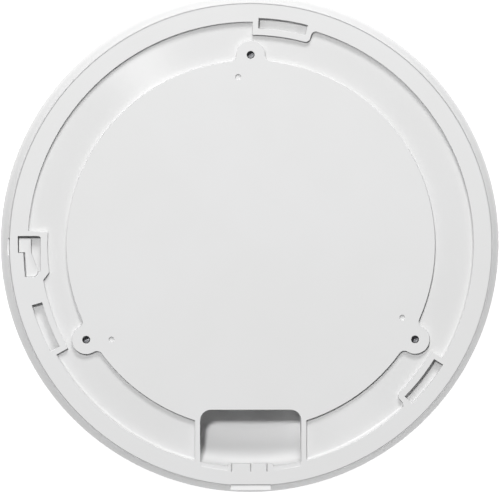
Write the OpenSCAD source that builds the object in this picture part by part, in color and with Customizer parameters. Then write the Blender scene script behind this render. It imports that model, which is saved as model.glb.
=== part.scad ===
// Round ceiling access point.
// The origin is the centre of the face that meets the ceiling. +Z points at the ceiling, the dome
// that faces the room points down, and the port bay is on the -Y side.

/* [Body] */
// Largest diameter
body_d = 220; // [219:0.5:222]
// Height from the ceiling face to the middle of the dome
body_h = 37; // [36.5:0.5:40]
// Depth at which the side wall is widest
widest_z = 18.5; // [17.5:0.5:19]
// Radius of the round between the side wall and the dome
shoulder_r = 14; // [13:0.5:14.5]
// Wall thickness of the dome
cover_t = 2.4; // [2:0.1:2.6]

/* [Ceiling face] */
// Outer radius of the flat ring
ring_r = 106.2; // [105.8:0.1:106.4]
// Outer radius of the channel
channel_r = 98.3; // [98:0.1:98.6]
// Radius of the flat middle
plateau_r = 81.3; // [81:0.1:81.6]
// Depth of the channel beside the flat middle
channel_in_z = 1.8; // [1.5:0.1:2]
// Depth of the channel beside the ring
channel_out_z = 2.1; // [2:0.1:2.8]
// Wall thickness of the back
back_t = 2.4; // [2:0.1:2.6]

/* [Case screws] */
// Radius of the circle that the case screws sit on
case_screw_circle = 83.7; // [83.4:0.1:84]
// Radius of the lobe round each case screw
lobe_r = 6.35; // [6:0.05:6.6]
// Diameter of the access hole over each case screw
access_d = 3.44; // [3.3:0.02:3.6]

/* [Bayonet slots] */
// Angle at which the first slot starts
slot_start = 75.4; // [75:0.2:76]
// Angle that each slot spans
slot_span = 12.6; // [11:0.2:12.8]
// Inner radius of the slots
slot_in_r = 95.4; // [95.1:0.1:95.6]
// Outer radius of the slots
slot_out_r = 100; // [99.6:0.1:100.2]
// Depth of the slots
slot_z = 4; // [3.5:0.1:4.2]

/* [Port bay] */
// Width of the bay
bay_w = 44.6; // [44:0.2:46]
// Distance from the centre to the wall that holds the sockets
bay_y = 72.8; // [72.6:0.1:73]
// Depth of the bay
bay_z = 20; // [19.5:0.5:20]
// Width of the weakened wall that can be broken out for a surface cable
knockout_w = 19.8; // [16:0.2:20]

/* [Electronics] */
// Radius of the round circuit board
board_r = 75; // [74:0.5:75.5]
// Height of the board's sockets side below the ceiling face
board_z = 19; // [18.8:0.1:19.2]
// Radius of the aluminium plate
plate_r = 83.3; // [82.5:0.1:83.4]
// Radius on which the antennas stand
antenna_circle = 62; // [60:0.5:63]

/* [Hidden] */

$fn = 96;
eps = 0.01;       // overlap that joins two shapes of one solid
cut = 1;          // how far a cutting shape runs past the face that it cuts
thirds = [0, 120, 240];

// Side wall and dome
body_r = body_d / 2;
rim_gap = 0.12;                     // seam between the ring and the dome's rim
rim_in_r = ring_r + rim_gap;
rim_land = 0.4;                     // flat top of the rim
rim_z = 0.15;                       // the rim sits this far below the ceiling face
rim_wall_z = 6.5;                   // the rim's inner wall is upright down to here
dome_flat_r = 30;                   // the middle of the dome is flat out to here
shoulder_x = body_r - shoulder_r;
shoulder_z = -widest_z;
rim_edge = [rim_in_r + rim_land, -rim_z];
rim_to_shoulder = rim_edge - [shoulder_x, shoulder_z];
side_angle = atan2(rim_to_shoulder[1], rim_to_shoulder[0]) - acos(shoulder_r / norm(rim_to_shoulder));
apex_to_shoulder = shoulder_z + body_h;
dome_reach = shoulder_x - dome_flat_r;
dome_r = (pow(dome_reach, 2) + pow(apex_to_shoulder, 2) - pow(shoulder_r, 2))
    / (2 * (apex_to_shoulder - shoulder_r));
dome_z = dome_r - body_h;           // height of the dome's centre of curvature
dome_start = atan2(shoulder_z - dome_z, dome_reach);

// Ceiling face
channel_round = 1.2;                // fillet at the foot of the ring's inner wall
lobe_fillet = 2.6;
ring_skirt_t = 1.8;
ring_skirt_z = 5;
channel_floor_t = 2.4;
dimple_circle = 74.2;
dimple_angle = 94.25;
dimple_r = 1.2;
dimple_z = 0.8;

// Bayonet slots and their frames
slot_end = slot_start + slot_span;
frame_in_r = 92.5;
frame_end = 1.5;                    // angle of frame wall past each end of a slot
frame_round = 2.2;                  // radius of the frame's soft end
frame_past = 0.06;                  // the soft end starts this far outside the channel
slot_lip_t = 1.8;                   // thickness of the lip that a bracket hook slides under
slot_lip_angle = 0.9;               // angle that the slot reaches in under the lip
slot_floor_t = 2;

// Latch well, latch and release pin hole, on the -X side
well_right = -92.6;
well_left = -102.6;
well_top = 3.9;
well_step = -3.55;                  // the well narrows below this
well_round = 1.1;                   // radius of the well's top inner corner
well_z = 4;
latch_frame_in_r = 89.6;
latch_frame_start = 176.4;
latch_frame_end = 190.3;
latch_corner_cut = [[-86, -8.65], [-86, -20], [-93, -20], [-93, -17.4]];
latch_link_angle = 2;               // the link runs this far into the two frames that it joins
latch_link_step = 0.15;
latch_top_z = 1.2;
latch_bottom_z = 3.8;
latch_pivot = [-96, -11.75];
latch_root_r = 2.3;
latch_root_gap = 0.1;
slit_left_top = -100.2;             // left edge of the slit beside the tongue, at the head and at the root
slit_left_bottom = -99.5;
well_bottom = latch_pivot[1] - latch_root_r - latch_root_gap;
well_wall_t = 1.6;
well_floor_t = 1.8;
tongue_left_top = -99.5;
tongue_left_bottom = -98.8;
latch_head_right = -96.8;
latch_head_left = -102.1;
latch_head_top = 2.9;
latch_head_bottom = -3.3;
pin_hole_low_y = -4.7;
pin_hole_high_y = 3;
pin_hole_z = 3;
pin_hole_roof_t = 0.9;

// Port bay
bay_corner_r = 4.8;
bay_floor_fillet = 18;              // the floor sweeps up to the outer side on this radius
bay_wall_t = 2;
bay_rim_w = 2.3;                    // width of the rim that stays level round the bay
bay_floor_t = 1.8;
bay_ledge_out_r = 100;
bay_ledge_z = 0.3;
bay_ledge_inset = 0.6;              // the ledge is this much shorter than the bay at each end
knockout_in_y = 96.5;
knockout_out_y = 100.1;
knockout_z = 7;
knockout_skin_t = 0.8;
knockout_top_t = 1.2;
groove_x = [-8.4, 0, 7.2];
groove_w = 0.7;
groove_z = 1.2;
cable_notch_w = 17.8;
cable_notch_z = 5.9;
tab_gap = 0.1;                      // play between the break-out tab and the notch that it closes
tab_in_r = 105.7;
tab_out_r = 108.2;
tab_groove_w = 0.3;
tab_groove_z = 0.7;
tab_edge_z = 0.1;

// Board, plate and their places
board_t = 1.6;
board_under_z = -board_z - board_t;
board_chord_y = -bay_y + bay_wall_t + 0.5;
plate_t = 1.5;
can_h = 2.6;
can_t = 0.3;
pad_t = 1;
plate_top_z = board_under_z - can_h - pad_t;
plate_under_z = plate_top_z - plate_t;
board_screw_circle = 70;
board_screw_angles = [30, 150, 230, 310];
plate_screw_circle = 79.5;
plate_screw_angles = [45, 135, 225, 315];
post_r = 3.2;
board_pilot_r = 1.15;               // a screw's shank and its thread gap
case_post_r = 4.2;
case_seat_z = 6;                    // depth at which a case screw's head sits
case_post_z = 9;
cover_post_r = 3.4;
cover_post_gap = 0.1;
cover_pilot_r = 1.05;
cover_pilot_z = 20;

// Sockets and reset switch
jack_x = [-13, 5.5];
jack_w = 16;
jack_l = 21.3;
jack_h = 13.4;
jack_front_y = -bay_y + 0.2;
jack_shell_t = 0.3;
jack_window_gap = 0.2;
plug_w = 11.9;
plug_low_z = 3.6;
plug_high_z = 10.4;
plug_depth = 14.5;
plug_key_w = 6.3;
plug_key_z = 2;
contact_pitch = 1.02;
contact_count = 8;
contact_w = 0.4;
contact_t = 0.3;
contact_l = 9.6;
contact_slope = -20;
contact_room_w = 9.4;
contact_room_y = 1.6;
contact_room_z = 12.4;
contact_root_y = 3.2;
contact_root_z = 11.6;
reset_x = 18;
reset_z = -board_z + 3.2;
reset_hole_r = 1;
reset_body = [6, 4.2, 6];
reset_gap = 0.3;                    // the button's end stands this far behind the bay wall
reset_stem_r = 1.3;
reset_stem_l = 1.2;
reset_travel = 0.3;
reset_stem_in = 1;                  // length of the button inside the switch
reset_stem_gap = 0.06;
reset_well_gap = 0.2;

// Packages on the board; sizes are length, width and height
transformer_y = -41;
transformer_size = [15, 9.5, 5.6];
transformer_leads = 12;
transformer_pitch = 1.15;
poe_place = [30, -40];
poe_flange_w = 18;
poe_flange_t = 2.2;
poe_stand = 0.2;                    // gap under the lower flange
poe_core_r = 5.6;
poe_leg_w = 1.8;
poe_window_h = 7.2;
inductor_places = [[-34, -40], [-34, -24]];
inductor_w = 12;
inductor_base_z = 0.3;
inductor_base_t = 1.2;
inductor_core_r = 5.4;
inductor_h = 5.4;
inductor_tab = [2.4, 12.8, 0.6];
inductor_tab_x = 4;
capacitor_places = [[50, -32], [50, -20], [38, -20]];
capacitor_r = 5;
capacitor_h = 12;
capacitor_rim = 0.4;                // step at the can's top edge
capacitor_base_r = 5.2;
capacitor_base_t = 0.6;
power_chip_places = [[14, -28], [-12, -24], [2, -16]];
power_chip_size = [6, 4, 1.6];
processor_place = [-36, 8];
processor_size = [15, 15, 1.4];
memory_places = [[-18, -1], [-18, 15]];
memory_size = [9, 11, 1.4];
flash_place = [-24, -22];
flash_size = [7.5, 5.2, 1.8];
small_leads = 4;
small_pitch = 1.27;
radio_places = [[26, 19], [26, -15]];
radio_size = [10, 10, 1.4];
crystal_places = [[-4, 24], [7, -4], [-40, -14]];
crystal_size = [3.2, 2.5, 0.8];
can_places = [[-28, 8, 42, 32], [26, 19, 28, 24], [26, -15, 28, 24]];   // x, y, length, width
chip_pad_w = [13, 9, 9];
can_pad_inset = [6, 5];

// Light
led_size = [3, 1.6, 0.8];
guide_r = 2;
guide_flange_r = 3.4;
guide_flange_t = 0.8;
guide_gap = 0.5;
guide_hole_gap = 0.1;

// Antennas, angles on the plate and their leads
angles_2g = [30, 150, 270];
angles_5g = [90, 210, 330];
antenna_2g = [26, 7, 5.6];          // arm length, arm width, height
antenna_5g = [15, 6, 5];
antenna_t = 0.5;
antenna_foot = [7.5, 6];
antenna_hole_x = 7.5;
antenna_hole_r = 1.1;
antenna_leg_x = 3.5;
feed_x = -1;
feed_w = 1.6;
feed_gap = 0.8;
lead_lag = 12;                      // angle from an antenna back to its plug and lead hole
lead_r = 0.57;
lead_bend = 1.2;
lead_gap = 0.15;
lead_hole_circle = 68.3;
lead_hole_r = 2;
plug_circle = 56;
socket_size = [2.6, 2.6, 0.7];
plug_r = 1.5;
plug_h = 1;

// Screws: head radius and height, shank radius and length
screw_head_bevel = 0.2;
screw_hole_r = 1.4;
fit_gap = 0.05;                     // play between two parts that sit close
plate_clearance = 0.8;
large_head = [2.4, 1.6];
large_shank_r = 1.1;
board_screw_l = 8;
plate_screw_l = 9;
case_head = [1.6, 1.4];
case_shank_r = 1;
case_screw_l = 12;
antenna_head = [1.8, 1.2];
antenna_screw_r = 0.8;
antenna_screw_l = 2.2;
pilot_z = 10;                       // depth of the pilot holes in the posts

// Points on an arc, from angle a0 to a1
function arc(c, r, a0, a1, n) =
    [for (i = [0:n]) let (a = a0 + (a1 - a0) * i / n) [c[0] + r * cos(a), c[1] + r * sin(a)]];

// Place of a point given by radius, angle and height
function polar(r, a, z) = [r * cos(a), r * sin(a), z];

module at_angles(angles, radius) {
    for (a = angles)
        rotate([0, 0, a])
            translate([radius, 0, 0])
                children();
}

// Box from its lowest and highest corners
module span(low, high) {
    translate(low)
        cube(high - low);
}

// Cylinder from one height to another
module rod(r, z0, z1) {
    translate([0, 0, min(z0, z1)])
        cylinder(r = r, h = abs(z1 - z0));
}

// Part of a flat ring between two angles less than 90 degrees apart
module sector(r0, r1, a0, a1) {
    reach = 2 * r1;
    intersection() {
        difference() {
            circle(r = r1, $fn = 180);
            circle(r = r0, $fn = 180);
        }
        polygon([[0, 0], [reach * cos(a0), reach * sin(a0)], [reach * cos(a1), reach * sin(a1)]]);
    }
}

// ---- Outlines on the ceiling face ----

// Lobe round a case screw, on +X, with fillets that run into the flat middle
module lobe_outline() {
    reach = plateau_r + lobe_fillet;
    x = (pow(case_screw_circle, 2) + pow(reach, 2) - pow(lobe_r + lobe_fillet, 2)) / (2 * case_screw_circle);
    y = sqrt(pow(reach, 2) - pow(x, 2));
    translate([case_screw_circle, 0])
        circle(r = lobe_r);
    for (side = [-1, 1])
        difference() {
            polygon([[0, 0], [case_screw_circle, 0], [x, side * y]]);
            translate([x, side * y])
                circle(r = lobe_fillet);
        }
}

// Frame round a bayonet slot: square at its far end, an S-curve at its near end
module slot_frame_outline() {
    near = slot_start - frame_end;
    far = slot_end + frame_end;
    corner_r = frame_in_r + frame_round;
    corner_a = near + asin(frame_round / corner_r);
    fillet_r = channel_r - frame_round + frame_past;
    fillet_a = near - asin(frame_round / fillet_r);
    polygon(concat(
        arc([fillet_r * cos(fillet_a), fillet_r * sin(fillet_a)], frame_round, fillet_a, near + 90, 8),
        arc([corner_r * cos(corner_a), corner_r * sin(corner_a)], frame_round, near - 90, corner_a - 180, 8),
        arc([0, 0], frame_in_r, corner_a + 0.5, far, 12),
        arc([0, 0], channel_r + cut, far, fillet_a, 12)));
}

// Frame round the latch well, with its lower inner corner cut off, and its link to the slot frame below
module latch_frame_outline() {
    difference() {
        sector(latch_frame_in_r, channel_r + cut, latch_frame_start, latch_frame_end);
        polygon(latch_corner_cut);
    }
    sector(frame_in_r + latch_link_step, channel_r + cut, latch_frame_end - latch_link_angle,
        slot_start + thirds[1] + latch_link_angle);
}

// Everything that stays at the level of the ceiling face inside the ring
module raised_outline() {
    circle(r = plateau_r, $fn = 180);
    for (a = thirds) {
        rotate(90 + a)
            lobe_outline();
        rotate(a)
            slot_frame_outline();
    }
    latch_frame_outline();
    bay_outer_w = bay_w + 2 * bay_rim_w;
    translate([-bay_outer_w / 2, -channel_r - cut])
        square([bay_outer_w, channel_r - plateau_r / 2]);
}

module bay_outline() {
    corner_y = -bay_y - bay_corner_r;
    corner_x = bay_w / 2 - bay_corner_r;
    intersection() {
        circle(r = channel_r, $fn = 180);
        union() {
            translate([-bay_w / 2, -channel_r - cut])
                square([bay_w, channel_r + cut + corner_y]);
            translate([-corner_x, corner_y - eps])
                square([2 * corner_x, bay_corner_r + eps]);
            for (side = [-1, 1])
                translate([side * corner_x, corner_y])
                    circle(r = bay_corner_r);
        }
    }
}

module latch_well_outline() {
    polygon(concat([[well_left, well_top], [well_left, well_step], [slit_left_top, well_step],
        [slit_left_bottom, well_bottom], [latch_pivot[0], well_bottom], latch_pivot,
        [well_right, latch_pivot[1]]],
        arc([well_right - well_round, well_top - well_round], well_round, 0, 90, 5)));
    translate(latch_pivot)
        circle(r = latch_root_r + latch_root_gap);
}

// ---- Back housing ----

// Section of the moulded back, before the channel's raised parts and pockets
module back_section() {
    under_r = channel_r + back_t;
    inner_r = plateau_r - back_t;
    polygon([[0, 0], [ring_r, 0], [ring_r, -ring_skirt_z], [ring_r - ring_skirt_t, -ring_skirt_z],
        [ring_r - ring_skirt_t, -back_t], [under_r, -back_t],
        [under_r, -channel_out_z - channel_floor_t], [inner_r, -channel_in_z - channel_floor_t],
        [inner_r, -back_t], [0, -back_t]]);
}

// Section of the channel, with a floor that falls towards the ring
module channel_section() {
    fall = atan2(channel_out_z - channel_in_z, channel_r - plateau_r);
    round_x = channel_r - channel_round;
    round_z = -channel_out_z + channel_round / cos(fall) + channel_round * tan(fall);
    past = plateau_r / 8;
    slope = (channel_out_z - channel_in_z) / (channel_r - plateau_r);
    polygon(concat([[plateau_r - past, cut], [plateau_r - past, -channel_in_z + slope * past]],
        arc([round_x, round_z], channel_round, -90 - fall, 0, 8),
        [[channel_r, cut]]));
}

module channel_void() {
    difference() {
        rotate_extrude($fn = 180)
            channel_section();
        translate([0, 0, -channel_out_z - cut])
            linear_extrude(height = channel_out_z + 3 * cut)
                raised_outline();
    }
}

// Pocket of one bayonet slot, which reaches in under a lip at its far end
module slot_void() {
    translate([0, 0, -slot_z])
        linear_extrude(height = slot_z + cut)
            sector(slot_in_r, slot_out_r, slot_start, slot_end);
    translate([0, 0, -slot_z])
        linear_extrude(height = slot_z - slot_lip_t)
            sector(slot_in_r, slot_out_r, slot_end - 1, slot_end + slot_lip_angle);
}

module slot_boss() {
    translate([0, 0, -slot_z - slot_floor_t])
        linear_extrude(height = slot_z)
            sector(frame_in_r, slot_out_r + slot_floor_t, slot_start - frame_end, slot_end + frame_end);
}

module bay_void() {
    intersection() {
        translate([0, 0, -bay_z])
            linear_extrude(height = bay_z + cut)
                bay_outline();
        rotate_extrude($fn = 180)
            polygon(concat([[0, cut], [0, -bay_z]],
                arc([channel_r - bay_floor_fillet, -bay_z + bay_floor_fillet], bay_floor_fillet, -90, 0, 16),
                [[channel_r, cut]]));
    }
}

module bay_tub() {
    half = bay_w / 2 + bay_wall_t;
    intersection() {
        span([-half, -ring_r, -bay_z - bay_floor_t], [half, -bay_y + bay_wall_t, -eps]);
        rod(channel_r + bay_wall_t, -bay_z - bay_floor_t, 0);
    }
}

// Weakened wall in the bay's outer side
module knockout_wall() {
    span([-knockout_w / 2, -knockout_out_y, -knockout_z], [knockout_w / 2, -knockout_in_y, 0]);
}

// Three break lines across the weakened wall
module knockout_grooves() {
    for (x = groove_x)
        translate([x, -knockout_in_y + cut, 0])
            rotate([90, 0, 0])
                linear_extrude(height = knockout_out_y - knockout_in_y + cut)
                    polygon([[-groove_w / 2, eps], [groove_w / 2, eps], [0, -groove_z]]);
}

// Tab that closes the cable notch in the rim until it is broken out
module knockout_tab() {
    half = cable_notch_w / 2 - tab_gap;
    span([-half, -tab_out_r, -ring_skirt_z], [half, -tab_in_r, -eps]);
}

// Break line at the tab's root and the slope of its top
module knockout_tab_top() {
    width = cable_notch_w - 2 * tab_gap + 2 * eps;
    translate([width / 2, 0, 0])
        rotate([90, 0, -90])
            linear_extrude(height = width)
                polygon([[tab_in_r, cut], [tab_in_r, -tab_groove_z], [tab_in_r + tab_groove_w, -tab_groove_z],
                    [tab_out_r, -tab_edge_z], [tab_out_r + cut, -tab_edge_z], [tab_out_r + cut, cut]]);
}

// Hollow that thins the ring behind the weakened wall
module knockout_relief() {
    half = cable_notch_w / 2;
    span([-half, -ring_r + knockout_skin_t, -ring_skirt_z - cut],
        [half, -knockout_out_y - knockout_skin_t, -knockout_top_t]);
}

// Openings in the wall between the bay and the circuit board
module socket_windows() {
    corner_depth = bay_corner_r / 2;
    for (x = jack_x)
        translate([x, 0, -board_z])
            span([-jack_w / 2 - jack_window_gap, -bay_y - corner_depth, -jack_window_gap],
                [jack_w / 2 + jack_window_gap, board_chord_y + cut, jack_h + jack_window_gap]);
    translate([reset_x, -bay_y - cut, reset_z])
        rotate([-90, 0, 0])
            cylinder(r = reset_hole_r, h = bay_wall_t + 2 * cut);
}

// Ledge round the bay's outer edge
module bay_ledge() {
    half_angle = asin((bay_w / 2 - bay_ledge_inset) / channel_r);
    translate([0, 0, -bay_ledge_z])
        linear_extrude(height = bay_ledge_z + cut)
            difference() {
                sector(channel_r - cut, bay_ledge_out_r, 270 - half_angle, 270 + half_angle);
                translate([-knockout_w / 2, -knockout_out_y])
                    square([knockout_w, bay_ledge_out_r - knockout_in_y]);
            }
}

module back_posts() {
    rotate([0, 0, 90])
        at_angles(thirds, case_screw_circle)
            rod(case_post_r, -case_post_z, -channel_in_z - cut);
    at_angles(board_screw_angles, board_screw_circle)
        rod(post_r, -board_z, -back_t + eps);
    at_angles(plate_screw_angles, plate_screw_circle)
        rod(post_r, plate_top_z, -channel_in_z - cut);
}

module back_screw_holes() {
    rotate([0, 0, 90])
        at_angles(thirds, case_screw_circle) {
            rod(access_d / 2, -case_seat_z, cut);
            rod(board_pilot_r, -case_post_z - cut, -case_seat_z + cut);
        }
    at_angles(board_screw_angles, board_screw_circle)
        rod(board_pilot_r, -board_z - cut, -board_z + pilot_z);
    at_angles(plate_screw_angles, plate_screw_circle)
        rod(board_pilot_r, plate_top_z - cut, plate_top_z + pilot_z);
}

module back_housing() {
    color("white")
        difference() {
            union() {
                difference() {
                    union() {
                        rotate_extrude($fn = 180)
                            back_section();
                        bay_tub();
                        for (a = thirds)
                            rotate([0, 0, a])
                                slot_boss();
                        span([well_left - well_wall_t, well_bottom - well_wall_t, -well_z - well_floor_t],
                            [well_right + well_wall_t, well_top + well_wall_t, -cut]);
                        back_posts();
                    }
                    channel_void();
                    bay_void();
                    bay_ledge();
                }
                knockout_wall();
                knockout_tab();
            }
            knockout_grooves();
            knockout_tab_top();
            for (a = thirds)
                rotate([0, 0, a])
                    slot_void();
            translate([0, 0, -well_z])
                linear_extrude(height = well_z + cut)
                    latch_well_outline();
            span([-ring_r - cut, pin_hole_low_y, -pin_hole_z],
                [well_left + cut, pin_hole_high_y, -pin_hole_roof_t]);
            knockout_relief();
            socket_windows();
            back_screw_holes();
            rotate([0, 0, dimple_angle])
                at_angles(thirds, dimple_circle)
                    rod(dimple_r, -dimple_z, cut);
        }
}

// ---- Dome ----

// Half of the dome's outline, a given distance inside the outer skin, from the side to the middle
function dome_curve(inset) = concat(
    arc([shoulder_x, shoulder_z], shoulder_r - inset, side_angle, dome_start, 14),
    arc([dome_flat_r, dome_z], dome_r - inset, dome_start - (dome_start + 90) / 8, -90, 7),
    [[0, inset - body_h]]);

function reversed(points) = [for (i = [len(points) - 1:-1:0]) points[i]];

module cover_section() {
    polygon(concat([[rim_in_r, -rim_z], rim_edge], dome_curve(0),
        reversed(dome_curve(cover_t)), [[rim_in_r, -rim_wall_z]]));
}

module front_cover() {
    dome_inside_z = -body_h + cover_t;
    color("whitesmoke")
        difference() {
            union() {
                rotate_extrude($fn = 180)
                    cover_section();
                rotate([0, 0, 90])
                    at_angles(thirds, case_screw_circle)
                        rod(cover_post_r, -case_post_z - cover_post_gap, dome_inside_z + cut);
            }
            rotate([0, 0, 90])
                at_angles(thirds, case_screw_circle)
                    rod(cover_pilot_r, -case_post_z + cut, -cover_pilot_z);
            rod(guide_r + guide_hole_gap, -body_h - cut, dome_inside_z + cut);
            span([-body_r, pin_hole_low_y, -pin_hole_z], [-rim_in_r + cut, pin_hole_high_y, cut]);
            span([-cable_notch_w / 2, -body_r, -cable_notch_z], [cable_notch_w / 2, -rim_in_r + 2, cut]);
        }
}

// ---- Latch ----

module latch_outline() {
    translate(latch_pivot)
        circle(r = latch_root_r);
    translate([latch_head_left, latch_head_bottom])
        square([latch_head_right - latch_head_left, latch_head_top - latch_head_bottom]);
    polygon([[tongue_left_top, latch_head_bottom + eps],
        [tongue_left_bottom, latch_pivot[1] - latch_root_r],
        [latch_pivot[0], latch_pivot[1] - latch_root_r],
        [latch_pivot[0] + latch_root_r, latch_pivot[1]], [latch_head_right, latch_head_bottom + eps]]);
}

module release_latch() {
    color("white")
        translate([0, 0, -latch_bottom_z])
            linear_extrude(height = latch_bottom_z - latch_top_z)
                latch_outline();
}

// ---- Board and sockets ----

module main_board() {
    color("darkgreen")
        difference() {
            rod(board_r, -board_z, board_under_z);
            span([-board_r, -board_r - cut, board_under_z - cut], [board_r, board_chord_y, -board_z + cut]);
            at_angles(board_screw_angles, board_screw_circle)
                rod(screw_hole_r, board_under_z - cut, -board_z + cut);
        }
}

// Carries a socket's parts from its own origin, at the middle of its mouth on the board
module at_jack(i) {
    translate([jack_x[i], jack_front_y, -board_z])
        children();
}

module jack_shells() {
    half = jack_w / 2;
    mouth_gap = 0.3;
    mouth_half = plug_w / 2 + mouth_gap;
    color("silver")
        for (i = [0, 1])
            at_jack(i)
                difference() {
                    span([-half, 0, 0], [half, jack_l, jack_h]);
                    span([-half + jack_shell_t, jack_shell_t, -cut],
                        [half - jack_shell_t, jack_l - jack_shell_t, jack_h - jack_shell_t]);
                    span([-mouth_half, -cut, plug_key_z - mouth_gap],
                        [mouth_half, cut, plug_high_z + mouth_gap]);
                }
}

module jack_inserts() {
    inset = jack_shell_t + fit_gap;
    half = jack_w / 2 - inset;
    color("dimgray")
        for (i = [0, 1])
            at_jack(i)
                difference() {
                    span([-half, inset, 0], [half, jack_l - inset, jack_h - inset]);
                    span([-plug_w / 2, -cut, plug_low_z], [plug_w / 2, plug_depth, plug_high_z]);
                    span([-plug_key_w / 2, -cut, plug_key_z], [plug_key_w / 2, plug_depth, plug_low_z + eps]);
                    span([-contact_room_w / 2, contact_room_y, plug_high_z - eps],
                        [contact_room_w / 2, plug_depth, contact_room_z]);
                }
}

// Eight sprung wires that slope down into the mouth from a root near its roof
module jack_contacts(i) {
    color("gold")
        at_jack(i)
            for (k = [0:contact_count - 1])
                translate([(k - (contact_count - 1) / 2) * contact_pitch, contact_root_y, contact_root_z]) {
                    rotate([0, 90, 0])
                        cylinder(r = contact_t, h = contact_w, center = true, $fn = 24);
                    rotate([contact_slope, 0, 0])
                        translate([-contact_w / 2, 0, -contact_t / 2])
                            cube([contact_w, contact_l, contact_t]);
                }
}

module jack_contacts_left() {
    jack_contacts(0);
}

module jack_contacts_right() {
    jack_contacts(1);
}

// The switch's pressed face, behind the bay wall
reset_face_y = -bay_y + bay_wall_t + reset_gap;
reset_body_y = reset_face_y + reset_stem_l;

module reset_switch_body() {
    well = reset_travel + reset_well_gap;
    color("black")
        difference() {
            translate([reset_x, reset_body_y, -board_z])
                span([-reset_body[0] / 2, 0, 0], [reset_body[0] / 2, reset_body[1], reset_body[2]]);
            translate([reset_x, reset_body_y - cut, reset_z])
                rotate([-90, 0, 0])
                    cylinder(r = reset_stem_r + reset_stem_gap, h = reset_stem_in + well + cut);
        }
}

module reset_button() {
    color("ivory")
        translate([reset_x, reset_face_y, reset_z])
            rotate([-90, 0, 0])
                cylinder(r = reset_stem_r, h = reset_stem_l + reset_stem_in);
}

// ---- Components on the board ----

// Flat package with a row of leads down each long side; its body rises from the board
module leaded_package(size, leads, pitch) {
    body_gap = 0.15;
    lead = [0.4, 1, 0.25];
    lead_in = 0.2;
    span([-size[0] / 2, -size[1] / 2, body_gap], [size[0] / 2, size[1] / 2, size[2]]);
    for (side = [-1, 1])
        for (k = [0:leads - 1])
            translate([(k - (leads - 1) / 2) * pitch, side * (size[1] / 2 + lead[1] / 2 - lead_in),
                lead[2] / 2])
                cube(lead, center = true);
}

// Chip with no leads showing and a bevelled top
module flat_chip(size) {
    bevel = 0.15;
    x = size[0] / 2;
    y = size[1] / 2;
    span([-x, -y, 0], [x, y, size[2] - bevel]);
    span([-x + bevel, -y + bevel, 0], [x - bevel, y - bevel, size[2]]);
}

// Carries parts onto the side of the board that holds the sockets
module on_top(p) {
    translate([p[0], p[1], -board_z])
        children();
}

// Carries parts onto the side of the board that faces the dome
module on_under(p) {
    translate([p[0], p[1], board_under_z])
        mirror([0, 0, 1])
            children();
}

module network_transformers() {
    color("black")
        for (x = jack_x)
            on_top([x, transformer_y])
                leaded_package(transformer_size, transformer_leads, transformer_pitch);
}

module poe_transformer() {
    half = poe_flange_w / 2;
    leg_x = half - poe_leg_w / 2;
    low_z = poe_stand + poe_flange_t;
    high_z = low_z + poe_window_h;
    color("goldenrod")
        on_top(poe_place) {
            span([-half, -half, poe_stand], [half, half, low_z]);
            rod(poe_core_r, low_z - eps, high_z);
            span([-half, -half, high_z - eps], [half, half, high_z + poe_leg_w]);
            for (side = [-1, 1])
                span([side * leg_x - poe_leg_w / 2, -half, low_z - eps],
                    [side * leg_x + poe_leg_w / 2, half, high_z]);
        }
}

module power_inductors() {
    half = inductor_w / 2;
    core_z = inductor_base_z + inductor_base_t;
    color("dimgray")
        for (p = inductor_places)
            on_top(p) {
                span([-half, -half, inductor_base_z], [half, half, core_z]);
                rod(inductor_core_r, core_z - eps, inductor_h);
                for (side = [-1, 1])
                    translate([side * inductor_tab_x, 0, inductor_tab[2] / 2])
                        cube(inductor_tab, center = true);
            }
}

module bulk_capacitors() {
    color("black")
        for (p = capacitor_places)
            on_top(p) {
                rod(capacitor_r, capacitor_base_t, capacitor_h - capacitor_rim);
                rod(capacitor_r - capacitor_rim, capacitor_h - capacitor_rim - eps, capacitor_h);
                rod(capacitor_base_r, 0, capacitor_base_t + eps);
            }
}

module power_chips() {
    color("black")
        for (p = power_chip_places)
            on_top(p)
                leaded_package(power_chip_size, small_leads, small_pitch);
}

module processor() {
    color("black")
        on_under(processor_place)
            flat_chip(processor_size);
}

module memory_chips() {
    color("black")
        for (p = memory_places)
            on_under(p)
                flat_chip(memory_size);
}

module flash_chip() {
    color("black")
        on_under(flash_place)
            leaded_package(flash_size, small_leads, small_pitch);
}

module radio_chips() {
    color("black")
        for (p = radio_places)
            on_under(p)
                flat_chip(radio_size);
}

module clock_crystals() {
    color("silver")
        for (p = crystal_places)
            on_under(p)
                flat_chip(crystal_size);
}

// ---- Shields, heat pads and plate ----

module shield_cans() {
    color("silver")
        for (c = can_places)
            on_under([c[0], c[1]])
                difference() {
                    span([-c[2] / 2, -c[3] / 2, 0], [c[2] / 2, c[3] / 2, can_h]);
                    span([-c[2] / 2 + can_t, -c[3] / 2 + can_t, -cut],
                        [c[2] / 2 - can_t, c[3] / 2 - can_t, can_h - can_t]);
                }
}

module chip_pads() {
    chip_h = processor_size[2];
    pad_h = can_h - can_t - chip_h;
    places = concat([processor_place], radio_places);
    color("lightblue")
        for (i = [0:2])
            on_under(places[i])
                translate([0, 0, chip_h + pad_h / 2])
                    cube([chip_pad_w[i], chip_pad_w[i], pad_h], center = true);
}

module spreader_pads() {
    color("lightblue")
        for (c = can_places)
            on_under([c[0], c[1]])
                translate([0, 0, can_h + pad_t / 2])
                    cube([c[2] - 2 * can_pad_inset[0], c[3] - 2 * can_pad_inset[1], pad_t], center = true);
}

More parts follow.
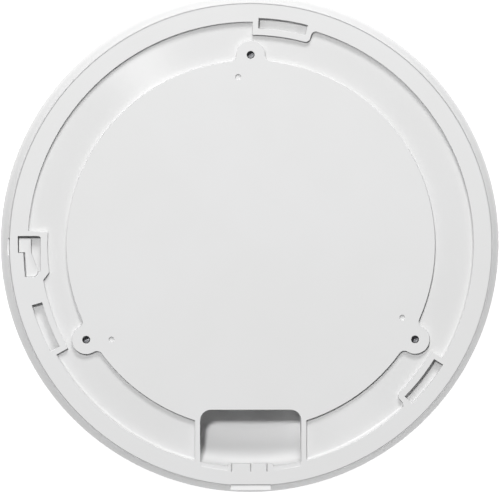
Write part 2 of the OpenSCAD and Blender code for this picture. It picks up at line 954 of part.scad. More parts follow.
module heat_spreader() {
    color("gainsboro")
        difference() {
            rod(plate_r, plate_top_z, plate_under_z);
            translate([0, 0, plate_under_z - cut])
                linear_extrude(height = plate_t + 2 * cut) {
                    rotate(90)
                        at_angles(thirds, case_screw_circle)
                            circle(r = cover_post_r + plate_clearance);
                    circle(r = guide_r + plate_clearance);
                    at_angles(plate_screw_angles, plate_screw_circle)
                        circle(r = screw_hole_r);
                    at_angles(board_screw_angles, board_screw_circle)
                        circle(r = large_head[0] + plate_clearance);
                    at_angles([for (a = concat(angles_2g, angles_5g)) a - lead_lag], lead_hole_circle)
                        circle(r = lead_hole_r);
                    at_angles(concat(angles_2g, angles_5g), antenna_circle)
                        translate([0, antenna_hole_x])
                            circle(r = antenna_screw_r + fit_gap);
                }
        }
}

// ---- Antennas and leads ----

// Bent strip: a foot on the plate, a leg, a long arm and a feed tab; +Z points away from the plate
module antenna(size) {
    arm_x = antenna_leg_x + antenna_t - size[0];
    difference() {
        translate([antenna_leg_x, -antenna_foot[1] / 2, 0])
            cube([antenna_foot[0], antenna_foot[1], antenna_t]);
        translate([antenna_hole_x, 0, 0])
            rod(antenna_hole_r, -cut, antenna_t + cut);
    }
    span([antenna_leg_x, -antenna_foot[1] / 2, 0], [antenna_leg_x + antenna_t, antenna_foot[1] / 2, size[2]]);
    span([arm_x, -size[1] / 2, size[2] - antenna_t], [antenna_leg_x + antenna_t, size[1] / 2, size[2]]);
    span([feed_x, -feed_w / 2, feed_gap], [feed_x + antenna_t, feed_w / 2, size[2] - eps]);
}

module on_plate(angles) {
    for (a = angles)
        rotate([0, 0, a])
            translate([antenna_circle, 0, plate_under_z])
                rotate([0, 0, 90])
                    rotate([180, 0, 0])
                        children();
}

module antennas_2g() {
    color("tan")
        on_plate(angles_2g)
            antenna(antenna_2g);
}

module antennas_5g() {
    color("tan")
        on_plate(angles_5g)
            antenna(antenna_5g);
}

// Twelve-sided wire through a list of points; each run goes a little past its ends to close the bends
module wire(points, r) {
    past = r / 2;
    for (i = [0:len(points) - 2]) {
        d = points[i + 1] - points[i];
        translate(points[i])
            rotate([0, acos(d[2] / norm(d)), atan2(d[1], d[0])])
                translate([0, 0, -past])
                    cylinder(r = r, h = norm(d) + 2 * past, $fn = 12);
    }
}

module antenna_cables() {
    high_z = board_under_z - socket_size[2] - plug_h / 2;
    low_z = plate_under_z - lead_r - lead_gap;
    tangent_y = feed_x - lead_r - 2 * lead_gap;
    color("black")
        for (a = concat(angles_2g, angles_5g)) {
            b = a - lead_lag;
            end_r = norm([antenna_circle, tangent_y]);
            end_a = a + atan2(tangent_y, antenna_circle);
            wire([polar(plug_circle + plug_r + lead_gap + lead_r, b, high_z),
                polar(lead_hole_circle - lead_bend, b, high_z),
                polar(lead_hole_circle, b, high_z - lead_bend),
                polar(lead_hole_circle, b, low_z),
                polar(end_r, end_a, low_z)], lead_r);
        }
}

module coax_sockets() {
    color("gold")
        at_angles([for (a = concat(angles_2g, angles_5g)) a - lead_lag], plug_circle)
            translate([0, 0, board_under_z - socket_size[2] / 2])
                cube(socket_size, center = true);
}

module coax_plugs() {
    color("silver")
        at_angles([for (a = concat(angles_2g, angles_5g)) a - lead_lag], plug_circle)
            rod(plug_r, board_under_z - socket_size[2], board_under_z - socket_size[2] - plug_h);
}

// ---- Status light ----

module status_led() {
    color("lightyellow")
        on_under([0, 0])
            flat_chip(led_size);
}

module light_guide() {
    top_z = board_under_z - led_size[2] - guide_gap;
    flange_z = -body_h + cover_t + guide_hole_gap;
    color("aliceblue") {
        rod(guide_r, top_z, -body_h);
        rod(guide_flange_r, flange_z, flange_z + guide_flange_t);
    }
}

// ---- Screws ----

// Screw with its head above z = 0 and its shank below; a cross recess in the head
module screw(head, shank_r, shank_l) {
    head_r = head[0];
    head_h = head[1];
    recess_z = head_h * 0.55;
    slot_w = head_r * 0.32;
    slot_l = head_r * 1.2;
    difference() {
        union() {
            rod(head_r, 0, head_h - screw_head_bevel);
            translate([0, 0, head_h - screw_head_bevel - eps])
                cylinder(r1 = head_r, r2 = head_r - screw_head_bevel, h = screw_head_bevel + eps, $fn = 48);
        }
        translate([0, 0, head_h])
            for (turn = [0, 90])
                rotate([0, 0, turn])
                    cube([slot_l, slot_w, 2 * recess_z], center = true);
    }
    rod(shank_r, -shank_l + shank_r, eps);
    translate([0, 0, -shank_l])
        cylinder(r1 = shank_r * 0.3, r2 = shank_r, h = shank_r + eps, $fn = 48);
}

module case_screws() {
    color("gray")
        rotate([0, 0, 90])
            at_angles(thirds, case_screw_circle)
                translate([0, 0, -case_seat_z])
                    screw(case_head, case_shank_r, case_screw_l);
}

module board_screws() {
    color("gray")
        at_angles(board_screw_angles, board_screw_circle)
            translate([0, 0, board_under_z])
                mirror([0, 0, 1])
                    screw(large_head, large_shank_r, board_screw_l);
}

module spreader_screws() {
    color("gray")
        at_angles(plate_screw_angles, plate_screw_circle)
            translate([0, 0, plate_under_z])
                mirror([0, 0, 1])
                    screw(large_head, large_shank_r, plate_screw_l);
}

module antenna_screws() {
    color("gray")
        on_plate(concat(angles_2g, angles_5g))
            translate([antenna_hole_x, 0, antenna_t])
                screw(antenna_head, antenna_screw_r, antenna_screw_l);
}

back_housing();
front_cover();
release_latch();
main_board();
jack_shells();
jack_inserts();
jack_contacts_left();
jack_contacts_right();
reset_switch_body();
reset_button();
network_transformers();
poe_transformer();
power_inductors();
bulk_capacitors();
power_chips();
processor();
memory_chips();
flash_chip();
radio_chips();
clock_crystals();
shield_cans();
chip_pads();
spreader_pads();
heat_spreader();
antennas_2g();
antennas_5g();
antenna_cables();
coax_plugs();
coax_sockets();
status_led();
light_guide();
case_screws();
board_screws();
spreader_screws();
antenna_screws();
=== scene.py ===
"""Looks for a round ceiling access point, seen from its ceiling side.

The CAD nodes keep their places. The three mouldings that show are replaced by welded copies with
softened edges, and the antenna leads by smooth curves. Every surface gets a procedural material.
Lengths are in metres.
"""

import math

import bmesh
import bpy
from mathutils import Matrix, Vector

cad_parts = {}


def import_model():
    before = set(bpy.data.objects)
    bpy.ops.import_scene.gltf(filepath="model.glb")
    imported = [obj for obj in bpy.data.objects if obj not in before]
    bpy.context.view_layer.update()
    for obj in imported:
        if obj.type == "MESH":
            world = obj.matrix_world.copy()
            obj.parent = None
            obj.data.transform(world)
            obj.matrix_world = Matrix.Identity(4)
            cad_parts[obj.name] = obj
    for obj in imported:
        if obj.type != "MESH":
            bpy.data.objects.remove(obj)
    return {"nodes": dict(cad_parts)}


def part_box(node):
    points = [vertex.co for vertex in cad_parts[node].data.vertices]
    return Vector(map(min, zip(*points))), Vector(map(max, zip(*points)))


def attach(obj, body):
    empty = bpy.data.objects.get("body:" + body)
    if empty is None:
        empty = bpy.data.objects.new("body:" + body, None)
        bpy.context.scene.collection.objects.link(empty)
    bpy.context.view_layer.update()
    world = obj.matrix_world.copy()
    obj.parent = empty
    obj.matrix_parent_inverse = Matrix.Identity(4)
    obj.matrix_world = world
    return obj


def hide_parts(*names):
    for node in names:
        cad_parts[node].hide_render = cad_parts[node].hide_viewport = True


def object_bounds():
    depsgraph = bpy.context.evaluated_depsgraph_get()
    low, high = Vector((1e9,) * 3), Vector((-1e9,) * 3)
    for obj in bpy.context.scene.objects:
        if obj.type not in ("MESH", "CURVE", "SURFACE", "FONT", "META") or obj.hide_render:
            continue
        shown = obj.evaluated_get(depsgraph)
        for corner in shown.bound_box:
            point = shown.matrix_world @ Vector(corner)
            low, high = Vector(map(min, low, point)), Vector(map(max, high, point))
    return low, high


MM = 0.001

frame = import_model()
cad_low, cad_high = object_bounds()
nodes = frame["nodes"]
scene = bpy.context.scene

# Driving dimensions, read from the frame
body_r = (cad_high.x - cad_low.x) / 2
dome_z = cad_low.z
ring_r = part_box("back_housing")[1].x
board_under_z, board_top_z = (corner.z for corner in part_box("main_board"))
capacitor_top_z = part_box("bulk_capacitors")[1].z

# The ring channel of the ceiling side, as the design has it
CHANNEL_IN_R = 81.3 * MM
CHANNEL_OUT_R = 98.3 * MM
CHANNEL_LOW_Z = -3.3 * MM
CHANNEL_HIGH_Z = -1.3 * MM

# Tones of the white plastic, from 0 for black to 1 for white
HOUSING_TONE = 0.80
DOME_TONE = 0.77
# Painted shade: the darker grey that the dome's upper rim is coloured
RIM_SHADE_TONE = 0.60
# Painted light: the paler tone of upward-facing floors in the rim's notches
NOTCH_LIGHT_TONE = 0.96
DEEP_SHADE_SHARE = 0.94                  # painted shade: tone of a deep place, as a share of the open surface's
NARROW_SHADE_SHARE = 0.8                 # painted shade: the same for a narrow place

# Where one look turns into another
BORDER = 0.4 * MM                  # width of the soft border round the channel floor
CRISP = 0.03 * MM                  # width of the border between two materials of one node
# Heights over which the painted shade of deep places comes in
DEEP_SHADE_Z = (-10.0 * MM, -16.0 * MM)
# Heights over which the dome's painted rim shade comes in
RIM_SHADE_Z = (-20.0 * MM, -8.0 * MM)
NARROW_REACH = 5.0 * MM            # how far a surface looks for walls that shade it

# Limits that sort the mouldings' edges and faces
SQUARE = math.radians(40)          # an edge that turns by more is rounded
CREASE = math.radians(38)          # an edge that turns by more isn't smoothed over
LEVEL_NORMAL = 0.998               # upward part of the normal of a face that counts as level
CEILING_NORMAL = 0.999             # the same for a face that meets the ceiling
CEILING_REACH = 0.02 * MM          # how far from the ceiling's level a face or corner may lie
SEAM_REACH = 0.3 * MM              # how far from the hairline seam a corner may lie
WELD = 0.002 * MM

# Antennas, their plugs and their leads, as the design has them
ANTENNA_ANGLES = range(30, 390, 60)
ANTENNA_CIRCLE = 62.0 * MM
FEED_EDGE = 1.0 * MM               # from an antenna's axis to the face of its feed tab
PLUG_CIRCLE = 56.0 * MM
PLUG_R = 1.5 * MM
LEAD_LAG = 12.0                    # degrees from an antenna back to its plug and its lead's hole
LEAD_HOLE_CIRCLE = 68.3 * MM
LEAD_R = 0.57 * MM                 # room that the design gives a lead
LEAD_GAP = 0.15 * MM
LEAD_BEND = 1.2 * MM
JACKET_R = 0.55 * MM
DIP_OUT = 0.6 * MM                 # slanted stretch where a lead turns down into its hole
DIP_DOWN = 1.0 * MM


# ---- Node helpers ----

class Graph:
    """Short names for building one material's node tree."""

    # The mix node has one set of sockets for each data type, and these are the colour ones
    MIX_A, MIX_B, MIX_RESULT = 6, 7, 2

    def __init__(self, name):
        self.material = bpy.data.materials.new(name)
        self.material.use_nodes = True
        self.tree = self.material.node_tree
        self.shader = self.tree.nodes["Principled BSDF"]

    def node(self, kind, **settings):
        made = self.tree.nodes.new(kind)
        for key, value in settings.items():
            setattr(made, key, value)
        return made

    def put(self, socket, value):
        """Links the socket to another node's output, or gives it a plain value."""
        if isinstance(value, bpy.types.NodeSocket):
            self.tree.links.new(value, socket)
        else:
            socket.default_value = value

    def math(self, operation, a, b=0.0):
        made = self.node("ShaderNodeMath", operation=operation)
        for socket, value in zip(made.inputs, (a, b)):
            self.put(socket, value)
        return made.outputs[0]

    def product(self, first, *others):
        for other in others:
            first = self.math("MULTIPLY", first, other)
        return first

    def length(self, x, y):
        return self.math("SQRT", self.math("ADD", self.product(x, x), self.product(y, y)))

    def split(self, vector):
        made = self.node("ShaderNodeSeparateXYZ")
        self.put(made.inputs[0], vector)
        return made.outputs

    def point(self):
        """X, Y and Z of the shaded point in the row frame."""
        return self.split(self.node("ShaderNodeNewGeometry").outputs["Position"])

    def height(self):
        return self.point()[2]

    def facing_up(self):
        """Upward part of the surface's normal."""
        return self.split(self.node("ShaderNodeNewGeometry").outputs["Normal"])[2]

    def place(self):
        """Texture coordinates in metres, as a vector socket."""
        return self.node("ShaderNodeTexCoord").outputs["Object"]

    def noise(self, scale, detail=2.0, roughness=0.5, vector=None):
        made = self.node("ShaderNodeTexNoise")
        self.put(made.inputs["Vector"], vector or self.place())
        made.inputs["Scale"].default_value = scale
        made.inputs["Detail"].default_value = detail
        made.inputs["Roughness"].default_value = roughness
        return made.outputs["Fac"]

    def ramp(self, value, low, high, out_low=0.0, out_high=1.0, smooth=True):
        made = self.node("ShaderNodeMapRange")
        made.interpolation_type = "SMOOTHSTEP" if smooth else "LINEAR"
        self.put(made.inputs["Value"], value)
        made.inputs["From Min"].default_value = low
        made.inputs["From Max"].default_value = high
        self.put(made.inputs["To Min"], out_low)
        self.put(made.inputs["To Max"], out_high)
        return made.outputs["Result"]

    def blend(self, share, first, second):
        """The first number where the share is 0 and the second where it is 1."""
        return self.ramp(share, 0.0, 1.0, first, second, smooth=False)

    def mix(self, factor, a, b):
        made = self.node("ShaderNodeMix", data_type="RGBA")
        self.put(made.inputs["Factor"], factor)
        self.put(made.inputs[self.MIX_A], a)
        self.put(made.inputs[self.MIX_B], b)
        return made.outputs[self.MIX_RESULT]

    def bump(self, height, distance):
        made = self.node("ShaderNodeBump")
        made.inputs["Distance"].default_value = distance
        self.put(made.inputs["Height"], height)
        return made.outputs["Normal"]

    def finish(self, **sockets):
        """Sets the shader's inputs, named with underscores for spaces, and gives the material."""
        for name, value in sockets.items():
            self.put(self.shader.inputs[name.replace("_", " ")], value)
        return self.material


def grey(value):
    return (value, value, value, 1.0)


def shade(colour, share=1.0):
    """A colour darkened to a share of itself, with its alpha."""
    return tuple(channel * share for channel in colour) + (1.0,)


# ---- White mouldings ----

def flow_tone(g, base):
    """White with the faint drift that plastic keeps from flowing into its mould."""
    drift = g.ramp(g.noise(14.0, detail=3.0), 0.3, 0.7)
    return g.mix(drift, grey(base), shade((base, base, base * 0.995), 0.985))


def eroded_finish(g):
    """Slightly uneven gloss, and the fine grain of a spark-eroded mould."""
    gloss = g.ramp(g.noise(60.0, detail=3.0), 0.3, 0.7, 0.52, 0.58)
    return gloss, g.bump(g.noise(5200.0, roughness=0.6), 0.004 * MM)


def painted_recess_shade(g, colour, base):
    """Paints shade into the colour: deep places a little darker, and places that walls crowd in on
    darker still.
    """
    # Painted shade: darker below a depth, and darker again where ambient occlusion finds walls close by
    deep = g.ramp(g.height(), *DEEP_SHADE_Z)
    open_sky = g.node("ShaderNodeAmbientOcclusion", samples=6)
    open_sky.inputs["Distance"].default_value = NARROW_REACH
    narrow = g.ramp(open_sky.outputs["AO"], 0.75, 0.3)
    return g.mix(narrow, g.mix(deep, colour, grey(base * DEEP_SHADE_SHARE)), grey(base * NARROW_SHADE_SHARE))


def sunken(g):
    """1 at the channel floor's upper level and below it, 0 above its border."""
    return g.ramp(g.height(), CHANNEL_HIGH_Z + BORDER, CHANNEL_HIGH_Z)


def channel_floor(g):
    """1 on the level floor of the ring channel, 0 elsewhere."""
    x, y, z = g.point()
    radius = g.length(x, y)
    past_middle = g.ramp(radius, CHANNEL_IN_R, CHANNEL_IN_R + BORDER)
    before_ring = g.ramp(radius, CHANNEL_OUT_R, CHANNEL_OUT_R - BORDER)
    shallow = g.ramp(z, CHANNEL_LOW_Z - 0.3 * MM, CHANNEL_LOW_Z)
    level = g.ramp(g.facing_up(), 0.97, 0.99)
    return g.product(past_middle, before_ring, sunken(g), shallow, level)


def white_housing():
    """Satin back and latch with painted shade in recesses, and a finely turned and glossier floor in the
    ring channel.
    """
    g = Graph("white_housing")
    gloss, normal = eroded_finish(g)
    turned = channel_floor(g)
    return g.finish(
        Base_Color=painted_recess_shade(g, flow_tone(g, HOUSING_TONE), HOUSING_TONE),
        Roughness=g.blend(turned, gloss, 0.18),
        Anisotropic=turned,
        Specular_IOR_Level=g.blend(turned, 0.5, 0.14),
        Anisotropic_Rotation=0.25,
        Tangent=g.node("ShaderNodeTangent", direction_type="RADIAL", axis="Z").outputs[0],
        Normal=normal,
    )


def white_dome():
    """Satin dome with painted shade that greys it towards its rim, and painted light that makes the
    floors in the rim's notches pale.
    """
    g = Graph("white_dome")
    # Painted shade: the colour turns greyer towards the rim
    rim_shade = g.ramp(g.height(), *RIM_SHADE_Z)
    # Painted light: upward-facing floors in the notches are coloured paler
    notch = g.product(g.ramp(g.facing_up(), 0.9, 0.97), sunken(g))
    rim = g.mix(notch, grey(RIM_SHADE_TONE), grey(NOTCH_LIGHT_TONE))
    colour = g.mix(rim_shade, flow_tone(g, DOME_TONE), rim)
    gloss, normal = eroded_finish(g)
    return g.finish(Base_Color=colour, Roughness=gloss, Normal=normal)


# ---- Other materials ----

def moulded(name, colour, roughness=0.5, grain=0.003, scale=2600.0, coat=0.0):
    """Dull moulded or rubbery material with a grain, in millimetres, and an uneven gloss."""
    g = Graph(name)
    tone = g.mix(g.ramp(g.noise(90.0, detail=3.0), 0.3, 0.7), shade(colour), shade(colour, 0.8))
    high = min(1.0, roughness * 1.15)
    rough = g.ramp(g.noise(240.0, detail=3.0), 0.3, 0.7, roughness * 0.85, high)
    normal = g.bump(g.noise(scale, detail=3.0, roughness=0.6), grain * MM)
    return g.finish(Base_Color=tone, Roughness=rough, Normal=normal, Coat_Weight=coat)


def sheet(name, colour, roughness=0.32, along=(40.0, 1800.0, 1800.0), depth=0.002, anisotropic=0.5):
    """Rolled sheet metal: fine lines, faint stains and an uneven gloss.

    `along` is the fineness of the lines on each axis, and `depth` is in millimetres."""
    g = Graph(name)
    stretched = g.node("ShaderNodeMapping")
    g.put(stretched.inputs["Vector"], g.place())
    stretched.inputs["Scale"].default_value = along
    lines = g.noise(1.0, detail=4.0, roughness=0.6, vector=stretched.outputs[0])
    stain = g.noise(160.0, detail=4.0, roughness=0.6)
    tone = g.mix(g.ramp(stain, 0.35, 0.75), shade(colour), shade(colour, 0.82))
    drawn = g.ramp(lines, 0.3, 0.7, roughness * 0.8, roughness * 1.1)
    dulled = g.ramp(stain, 0.4, 0.8, 0.0, 0.08)
    return g.finish(Base_Color=tone, Metallic=1.0, Roughness=g.math("ADD", drawn, dulled),
                    Anisotropic=anisotropic, Normal=g.bump(lines, depth * MM))


def traces(g):
    """1 on the board's copper traces, which run in patches."""
    runs = g.node("ShaderNodeTexBrick", offset=0.37, squash=0.6, squash_frequency=3)
    g.put(runs.inputs["Vector"], g.place())
    runs.inputs["Scale"].default_value = 230.0
    runs.inputs["Mortar Size"].default_value = 0.035
    runs.inputs["Mortar Smooth"].default_value = 0.2
    runs.inputs["Brick Width"].default_value = 1.7
    runs.inputs["Row Height"].default_value = 0.3
    return g.product(runs.outputs["Fac"], g.ramp(g.noise(70.0), 0.47, 0.53))


def vias(g):
    """1 on the board's plated through-holes, which come in clusters."""
    cells = g.node("ShaderNodeTexVoronoi")
    g.put(cells.inputs["Vector"], g.place())
    cells.inputs["Scale"].default_value = 330.0
    return g.product(g.ramp(cells.outputs["Distance"], 0.11, 0.08), g.ramp(g.noise(55.0), 0.5, 0.55))


def glass_weave(g):
    weave = g.node("ShaderNodeTexWave", wave_type="BANDS", bands_direction="DIAGONAL")
    g.put(weave.inputs["Vector"], g.place())
    weave.inputs["Scale"].default_value = 520.0
    return weave.outputs["Fac"]


def solder_mask(name):
    """Green board: traces, vias and a glass weave under glossy solder mask."""
    g = Graph(name)
    trace = traces(g)
    metal = vias(g)
    weave = glass_weave(g)
    bare = g.mix(g.noise(45.0, detail=3.0), (0.012, 0.085, 0.038, 1.0), (0.016, 0.11, 0.05, 1.0))
    green = g.mix(g.product(trace, 0.8), bare, (0.03, 0.19, 0.075, 1.0))
    relief = g.math("ADD", trace, g.product(weave, 0.15))
    return g.finish(
        Base_Color=g.mix(metal, green, (0.75, 0.62, 0.36, 1.0)),
        Metallic=metal,
        Roughness=g.ramp(weave, 0.0, 1.0, 0.3, 0.36),
        Coat_Weight=0.4,
        Coat_Roughness=0.12,
        Normal=g.bump(relief, 0.03 * MM),
    )


def two_part(name, mask, first, second, rough=(0.5, 0.35), metal=(0.0, 1.0)):
    """Node of two materials: the first where `mask(graph)` is 0 and the second where it is 1."""
    g = Graph(name)
    share = mask(g)
    blotch = g.noise(120.0, detail=3.0)
    first_tone = g.mix(blotch, shade(first), shade(first, 0.75))
    second_tone = g.mix(blotch, shade(second), shade(second, 0.85))
    uneven = g.ramp(g.noise(300.0, detail=3.0), 0.3, 0.7, -0.05, 0.05)
    return g.finish(
        Base_Color=g.mix(share, first_tone, second_tone),
        Metallic=g.blend(share, *metal),
        Roughness=g.math("ADD", g.blend(share, *rough), uneven),
        Normal=g.bump(g.noise(2400.0, detail=3.0, roughness=0.6), 0.004 * MM),
    )


def below_height(z):
    """Mask for `two_part` that is 1 below a level."""
    return lambda g: g.ramp(g.height(), z + CRISP, z)


def above_height(z):
    """Mask for `two_part` that is 1 above a level."""
    return lambda g: g.ramp(g.height(), z - CRISP, z)


def winding(g):
    """1 on the round middle of the power transformer, between its two ferrite halves."""
    winding_r = 5.65 * MM
    low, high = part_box("poe_transformer")
    x, y, _ = g.point()
    across = g.math("SUBTRACT", x, (low.x + high.x) / 2)
    along = g.math("SUBTRACT", y, (low.y + high.y) / 2)
    return g.ramp(g.length(across, along), winding_r + 0.15 * MM, winding_r)


def clear_plastic(name):
    g = Graph(name)
    swirl = g.noise(220.0, detail=3.0)
    return g.finish(Base_Color=(0.94, 0.97, 0.98, 1.0), Roughness=g.ramp(swirl, 0.3, 0.7, 0.03, 0.1),
                    Transmission_Weight=0.95, IOR=1.49, Normal=g.bump(swirl, 0.01 * MM))


def plated_screw(name):
    """Zinc-plated steel with blotches of duller plating and fine pits."""
    g = Graph(name)
    stain = g.noise(900.0, detail=4.0, roughness=0.6)
    tone = g.mix(g.ramp(stain, 0.35, 0.7), (0.34, 0.345, 0.36, 1.0), (0.2, 0.2, 0.21, 1.0))
    return g.finish(Base_Color=tone, Metallic=1.0, Roughness=g.ramp(stain, 0.3, 0.7, 0.25, 0.4),
                    Normal=g.bump(g.noise(2600.0), 0.01 * MM))


# ---- Which node gets which look ----

TIN = (0.72, 0.73, 0.74)
EPOXY = (0.022, 0.022, 0.025)
FERRITE = (0.035, 0.034, 0.036)
TAPE = (0.62, 0.38, 0.04)
SLEEVE = (0.02, 0.022, 0.035)
CAN_TOP = (0.70, 0.70, 0.71)
LEAD_HEIGHT = 0.26 * MM            # tinned feet of the black packages
TERMINAL_HEIGHT = 0.6 * MM         # tinned ends of the inductors
BARE_TOP = 0.42 * MM               # bare top of a capacitor, above its sleeve

WHITE = white_housing()
DOME = white_dome()
TINNED = sheet("tinned_steel", TIN)
BLACK = moulded("socket_black", (0.018, 0.018, 0.02), roughness=0.42)
CONTACT = sheet("gold_contact", (0.86, 0.62, 0.24), 0.22, along=(1800.0, 60.0, 1800.0), depth=0.001)
EPOXY_TOP = two_part("chip_black_top_side", below_height(board_top_z + LEAD_HEIGHT), EPOXY, TIN)
EPOXY_UNDER = two_part("chip_black_dome_side", above_height(board_under_z - LEAD_HEIGHT), EPOXY, TIN)
PAD = moulded("heat_pad", (0.30, 0.38, 0.50), roughness=0.75, grain=0.02, scale=1500.0)
ANTENNA = sheet("antenna_metal", (0.66, 0.60, 0.46), 0.3, along=(1500.0, 1500.0, 60.0))
PLATED = sheet("coax_metal", (0.80, 0.62, 0.28), 0.28, along=(900.0, 900.0, 200.0), depth=0.001)
SCREW = plated_screw("screw_steel")

LOOKS = {
    "main_board": solder_mask("board_green"),
    "jack_shells": TINNED,
    "jack_inserts": BLACK,
    "jack_contacts_left": CONTACT,
    "jack_contacts_right": CONTACT,
    "reset_switch_body": BLACK,
    "reset_button": moulded("button_ivory", (0.68, 0.65, 0.55), roughness=0.4),
    "network_transformers": EPOXY_TOP,
    "poe_transformer": two_part("transformer_tape", winding, FERRITE, TAPE,
                                rough=(0.6, 0.28), metal=(0.0, 0.0)),
    "power_inductors": two_part("ferrite", below_height(board_top_z + TERMINAL_HEIGHT), FERRITE, TIN,
                                rough=(0.65, 0.35)),
    "bulk_capacitors": two_part("capacitor_sleeve", above_height(capacitor_top_z - BARE_TOP),
                                SLEEVE, CAN_TOP, rough=(0.25, 0.35)),
    "power_chips": EPOXY_TOP,
    "processor": moulded("processor_black", EPOXY, roughness=0.45),
    "memory_chips": moulded("memory_black", (0.026, 0.026, 0.028)),
    "flash_chip": EPOXY_UNDER,
    "radio_chips": moulded("radio_black", EPOXY, roughness=0.48),
    "clock_crystals": sheet("crystal_can", (0.74, 0.73, 0.68), 0.3, along=(400.0, 3000.0, 3000.0)),
    "shield_cans": TINNED,
    "chip_pads": PAD,
    "spreader_pads": PAD,
    "heat_spreader": sheet("plate_aluminium", (0.74, 0.75, 0.76), 0.36, along=(12.0, 900.0, 900.0),
                           depth=0.003, anisotropic=0.7),
    "antennas_2g": ANTENNA,
    "antennas_5g": ANTENNA,
    "coax_plugs": PLATED,
    "coax_sockets": PLATED,
    "status_led": moulded("led_lens", (0.80, 0.78, 0.50), roughness=0.25, grain=0.001, coat=0.5),
    "light_guide": clear_plastic("clear_guide"),
    "case_screws": SCREW,
    "board_screws": SCREW,
    "spreader_screws": SCREW,
    "antenna_screws": SCREW,
}

# Edge rounding that each carried-over node gets, in millimetres
ROUNDING = {
    "jack_shells": 0.12,
    "jack_inserts": 0.12,
    "reset_switch_body": 0.15,
    "reset_button": 0.15,
    "network_transformers": 0.1,
    "poe_transformer": 0.25,
    "power_inductors": 0.15,
    "power_chips": 0.05,
    "flash_chip": 0.05,
    "shield_cans": 0.25,
    "chip_pads": 0.1,
    "spreader_pads": 0.15,
    "heat_spreader": 0.15,
    "antennas_2g": 0.1,
    "antennas_5g": 0.1,
    "main_board": 0.08,
    "coax_plugs": 0.12,
    "light_guide": 0.12,
}


def dress_node(name):
    """Gives a CAD node its material, and round edges where the CAD's are square."""
    node = nodes[name]
    node.data.materials.clear()
    node.data.materials.append(LOOKS[name])
    if name in ROUNDING:
        bevel = node.modifiers.new("round_edges", "BEVEL")
        bevel.width = ROUNDING[name] * MM
        bevel.segments = 2
        bevel.limit_method = "ANGLE"
        bevel.angle_limit = math.radians(50)


# ---- Mouldings with round edges ----

def at_seam(edge):
    """True for the two edges that meet in the hairline seam between the ring and the dome's rim."""
    return all(abs(vertex.co.xy.length - ring_r) < SEAM_REACH and vertex.co.z > -SEAM_REACH
               for vertex in edge.verts)


def any_square(edge):
    """True for a square edge that isn't at the seam."""
    return len(edge.link_faces) == 2 and edge.calc_face_angle(0.0) > SQUARE and not at_seam(edge)


def top_outline(edge):
    """True for a square edge of a flat face that meets the ceiling."""
    return any_square(edge) and all(abs(vertex.co.z) < CEILING_REACH for vertex in edge.verts)


def inside_flat(edge):
    """True for an edge between two pieces of the same flat face that meets the ceiling."""
    return len(edge.link_faces) == 2 and all(
        face.normal.z > CEILING_NORMAL and abs(face.calc_center_median().z) < CEILING_REACH
        for face in edge.link_faces)


def smooth_walls(mesh):
    """Smooths the curved walls, keeps creases, and drops the shading that came with the CAD mesh."""
    for stale in ("custom_normal", "sharp_edge", "sharp_face"):
        if stale in mesh.attributes:
            mesh.attributes.remove(mesh.attributes[stale])
    mesh.set_sharp_from_angle(angle=CREASE)
    for face in mesh.polygons:
        face.use_smooth = abs(face.normal.z) < LEVEL_NORMAL


def add_piece(name, data, material, node_name, body):
    """Puts a new piece in the scene in place of a CAD node, on that node's body."""
    data.materials.append(material)
    made = bpy.data.objects.new(name, data)
    scene.collection.objects.link(made)
    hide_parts(node_name)
    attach(made, body)


def moulding(name, node_name, material, pick, width, body="housing"):
    """Welded copy of a CAD moulding, with the edges that `pick` chooses rounded to a width in mm."""
    build = bmesh.new()
    build.from_mesh(nodes[node_name].data)
    bmesh.ops.remove_doubles(build, verts=build.verts, dist=WELD)
    flat = [edge for edge in build.edges if inside_flat(edge)]
    bmesh.ops.dissolve_limit(build, angle_limit=math.radians(0.01), verts=build.verts, edges=flat)
    picked = [edge for edge in build.edges if pick(edge)]
    bmesh.ops.bevel(build, geom=picked, offset=width * MM, offset_type="OFFSET", segments=2,
                    profile=0.5, affect="EDGES", clamp_overlap=False)
    mesh = bpy.data.meshes.new(name)
    build.to_mesh(mesh)
    build.free()
    smooth_walls(mesh)
    add_piece(name, mesh, material, node_name, body)


# ---- Antenna leads ----

def rounded(points, radius, steps=6):
    """Path through the points with each inner corner turned into a smooth bend."""
    path = [points[0]]
    for before, corner, after in zip(points, points[1:], points[2:]):
        start = corner + (before - corner).normalized() * min(radius, (before - corner).length / 2)
        end = corner + (after - corner).normalized() * min(radius, (after - corner).length / 2)
        for step in range(steps + 1):
            t = step / steps
            path.append(start * (1 - t) ** 2 + corner * 2 * t * (1 - t) + end * t ** 2)
    return path + [points[-1]]


def around(radius, angle, z):
    a = math.radians(angle)
    return Vector((radius * math.cos(a), radius * math.sin(a), z))


def lead_path(antenna, high_z, low_z):
    """From the plug out to the hole in the plate, down through it and along to the feed tab."""
    hole = antenna - LEAD_LAG
    feed_y = FEED_EDGE + LEAD_R + 2 * LEAD_GAP
    feed_r = math.hypot(ANTENNA_CIRCLE, feed_y)
    feed_angle = antenna - math.degrees(math.atan2(feed_y, ANTENNA_CIRCLE))
    points = [
        around(PLUG_CIRCLE + PLUG_R + LEAD_GAP + JACKET_R, hole, high_z),
        around(LEAD_HOLE_CIRCLE - DIP_OUT, hole, high_z),
        around(LEAD_HOLE_CIRCLE, hole, high_z - DIP_DOWN),
        around(LEAD_HOLE_CIRCLE, hole, low_z),
        around(feed_r, feed_angle, low_z),
    ]
    return rounded(points, LEAD_BEND)


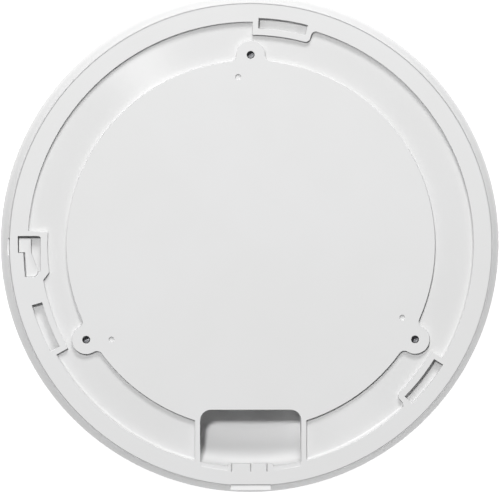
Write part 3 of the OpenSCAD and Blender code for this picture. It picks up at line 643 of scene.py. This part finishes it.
def antenna_leads():
    """Thin coaxial leads, each from its plug through the plate to its antenna's feed tab."""
    plug_low, plug_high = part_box("coax_plugs")
    high_z = (plug_low.z + plug_high.z) / 2
    low_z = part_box("heat_spreader")[0].z - LEAD_R - LEAD_GAP
    curve = bpy.data.curves.new("antenna_leads", "CURVE")
    curve.dimensions = "3D"
    curve.bevel_depth = JACKET_R
    curve.bevel_resolution = 4
    curve.use_fill_caps = True
    for antenna in ANTENNA_ANGLES:
        path = lead_path(antenna, high_z, low_z)
        spline = curve.splines.new("POLY")
        spline.points.add(len(path) - 1)
        for point, place in zip(spline.points, path):
            point.co = (*place, 1.0)
        spline.use_smooth = True
    jacket = moulded("lead_jacket", (0.02, 0.02, 0.021), roughness=0.38, grain=0.004, scale=3000.0)
    add_piece("antenna_leads", curve, jacket, "antenna_cables", "housing")


moulding("housing_moulding", "back_housing", WHITE, top_outline, 0.15)
moulding("dome_moulding", "front_cover", DOME, any_square, 0.1)
moulding("latch_moulding", "release_latch", WHITE, any_square, 0.15, body="latch")
antenna_leads()
for node_name in LOOKS:
    dress_node(node_name)


# ---- Floor, light and camera ----

def floor_look():
    """Floor that glows instead of catching shadows.

    The camera sees it evenly pale, and darker at a slant. The object gets little of its light from
    below and more from beyond the disc's edge."""
    g = Graph("studio_floor")
    geometry = g.node("ShaderNodeNewGeometry")
    facing = g.node("ShaderNodeVectorMath", operation="DOT_PRODUCT")
    g.put(facing.inputs[0], geometry.outputs["Incoming"])
    g.put(facing.inputs[1], geometry.outputs["Normal"])
    seen = g.node("ShaderNodeLightPath").outputs["Is Camera Ray"]
    plain = g.ramp(facing.outputs["Value"], 0.35, 0.95, 0.45, 1.0)
    x, y, _ = g.point()
    under_disc = body_r - 15.0 * MM
    beyond_disc = body_r + 50.0 * MM
    thrown_back = g.ramp(g.length(x, y), under_disc, beyond_disc, 0.1, 1.5)
    return g.finish(Base_Color=grey(0.4), Roughness=0.9, Emission_Color=grey(1.0),
                    Emission_Strength=g.blend(seen, thrown_back, plain))


def floor():
    """Large square floor, a hair below the dome."""
    mesh = bpy.data.meshes.new("studio_floor")
    build = bmesh.new()
    half_width = 3.0
    bmesh.ops.create_grid(build, x_segments=1, y_segments=1, size=half_width)
    build.to_mesh(mesh)
    build.free()
    mesh.materials.append(floor_look())
    made = bpy.data.objects.new("studio_floor", mesh)
    made.location.z = dome_z - 0.2 * MM
    scene.collection.objects.link(made)


def direction(azimuth, elevation):
    a = math.radians(azimuth)
    e = math.radians(elevation)
    return Vector((math.cos(a) * math.cos(e), math.sin(a) * math.cos(e), math.sin(e)))


def softbox(name, azimuth, elevation, spread, irradiance, distance):
    """Disc lamp, `spread` degrees wide from the object, that lights a facing surface by `irradiance`."""
    lamp = bpy.data.lights.new(name, "AREA")
    lamp.shape = "DISK"
    lamp.size = 2 * distance * math.tan(math.radians(spread / 2))
    lamp.energy = irradiance * math.pi * distance ** 2
    made = bpy.data.objects.new(name, lamp)
    made.location = direction(azimuth, elevation) * distance
    made.rotation_euler = (-made.location).to_track_quat("-Z", "Y").to_euler()
    scene.collection.objects.link(made)


def world():
    """Faint, slightly cool light from everywhere."""
    made = bpy.data.worlds.new("studio")
    made.use_nodes = True
    back = made.node_tree.nodes["Background"]
    back.inputs["Color"].default_value = (0.93, 0.95, 1.0, 1.0)
    back.inputs["Strength"].default_value = 0.05
    scene.world = made


def camera():
    """Long lens above the ceiling side, leaning slightly, with the disc across the whole picture."""
    lean_x = -0.0238
    lean_y = 0.0381
    disc_share = 0.9984            # part of the picture's width that the disc takes up
    slide_x = -0.0014              # how far the picture slides off the disc's centre, in widths
    slide_y = -0.0104
    data = bpy.data.cameras.new("camera")
    data.sensor_width = 36.0
    data.lens = 1500.0
    data.shift_x = slide_x
    data.shift_y = slide_y
    distance = 2 * body_r / disc_share * data.lens / data.sensor_width
    back = Vector((lean_x, lean_y, 1.0)).normalized()
    right = Vector((0.0, 1.0, 0.0)).cross(back).normalized()
    up = back.cross(right)
    made = bpy.data.objects.new("camera", data)
    turn = Matrix((right, up, back)).transposed().to_4x4()
    made.matrix_world = Matrix.Translation(back * distance) @ turn
    scene.collection.objects.link(made)
    scene.camera = made


floor()
softbox("key", azimuth=121.0, elevation=71.0, spread=6.0, irradiance=1.90, distance=3.0)
softbox("side", azimuth=87.0, elevation=37.0, spread=20.0, irradiance=1.70, distance=2.0)
softbox("fill", azimuth=300.0, elevation=16.0, spread=50.0, irradiance=0.30, distance=1.0)
world()
camera()
scene.view_settings.view_transform = "Standard"
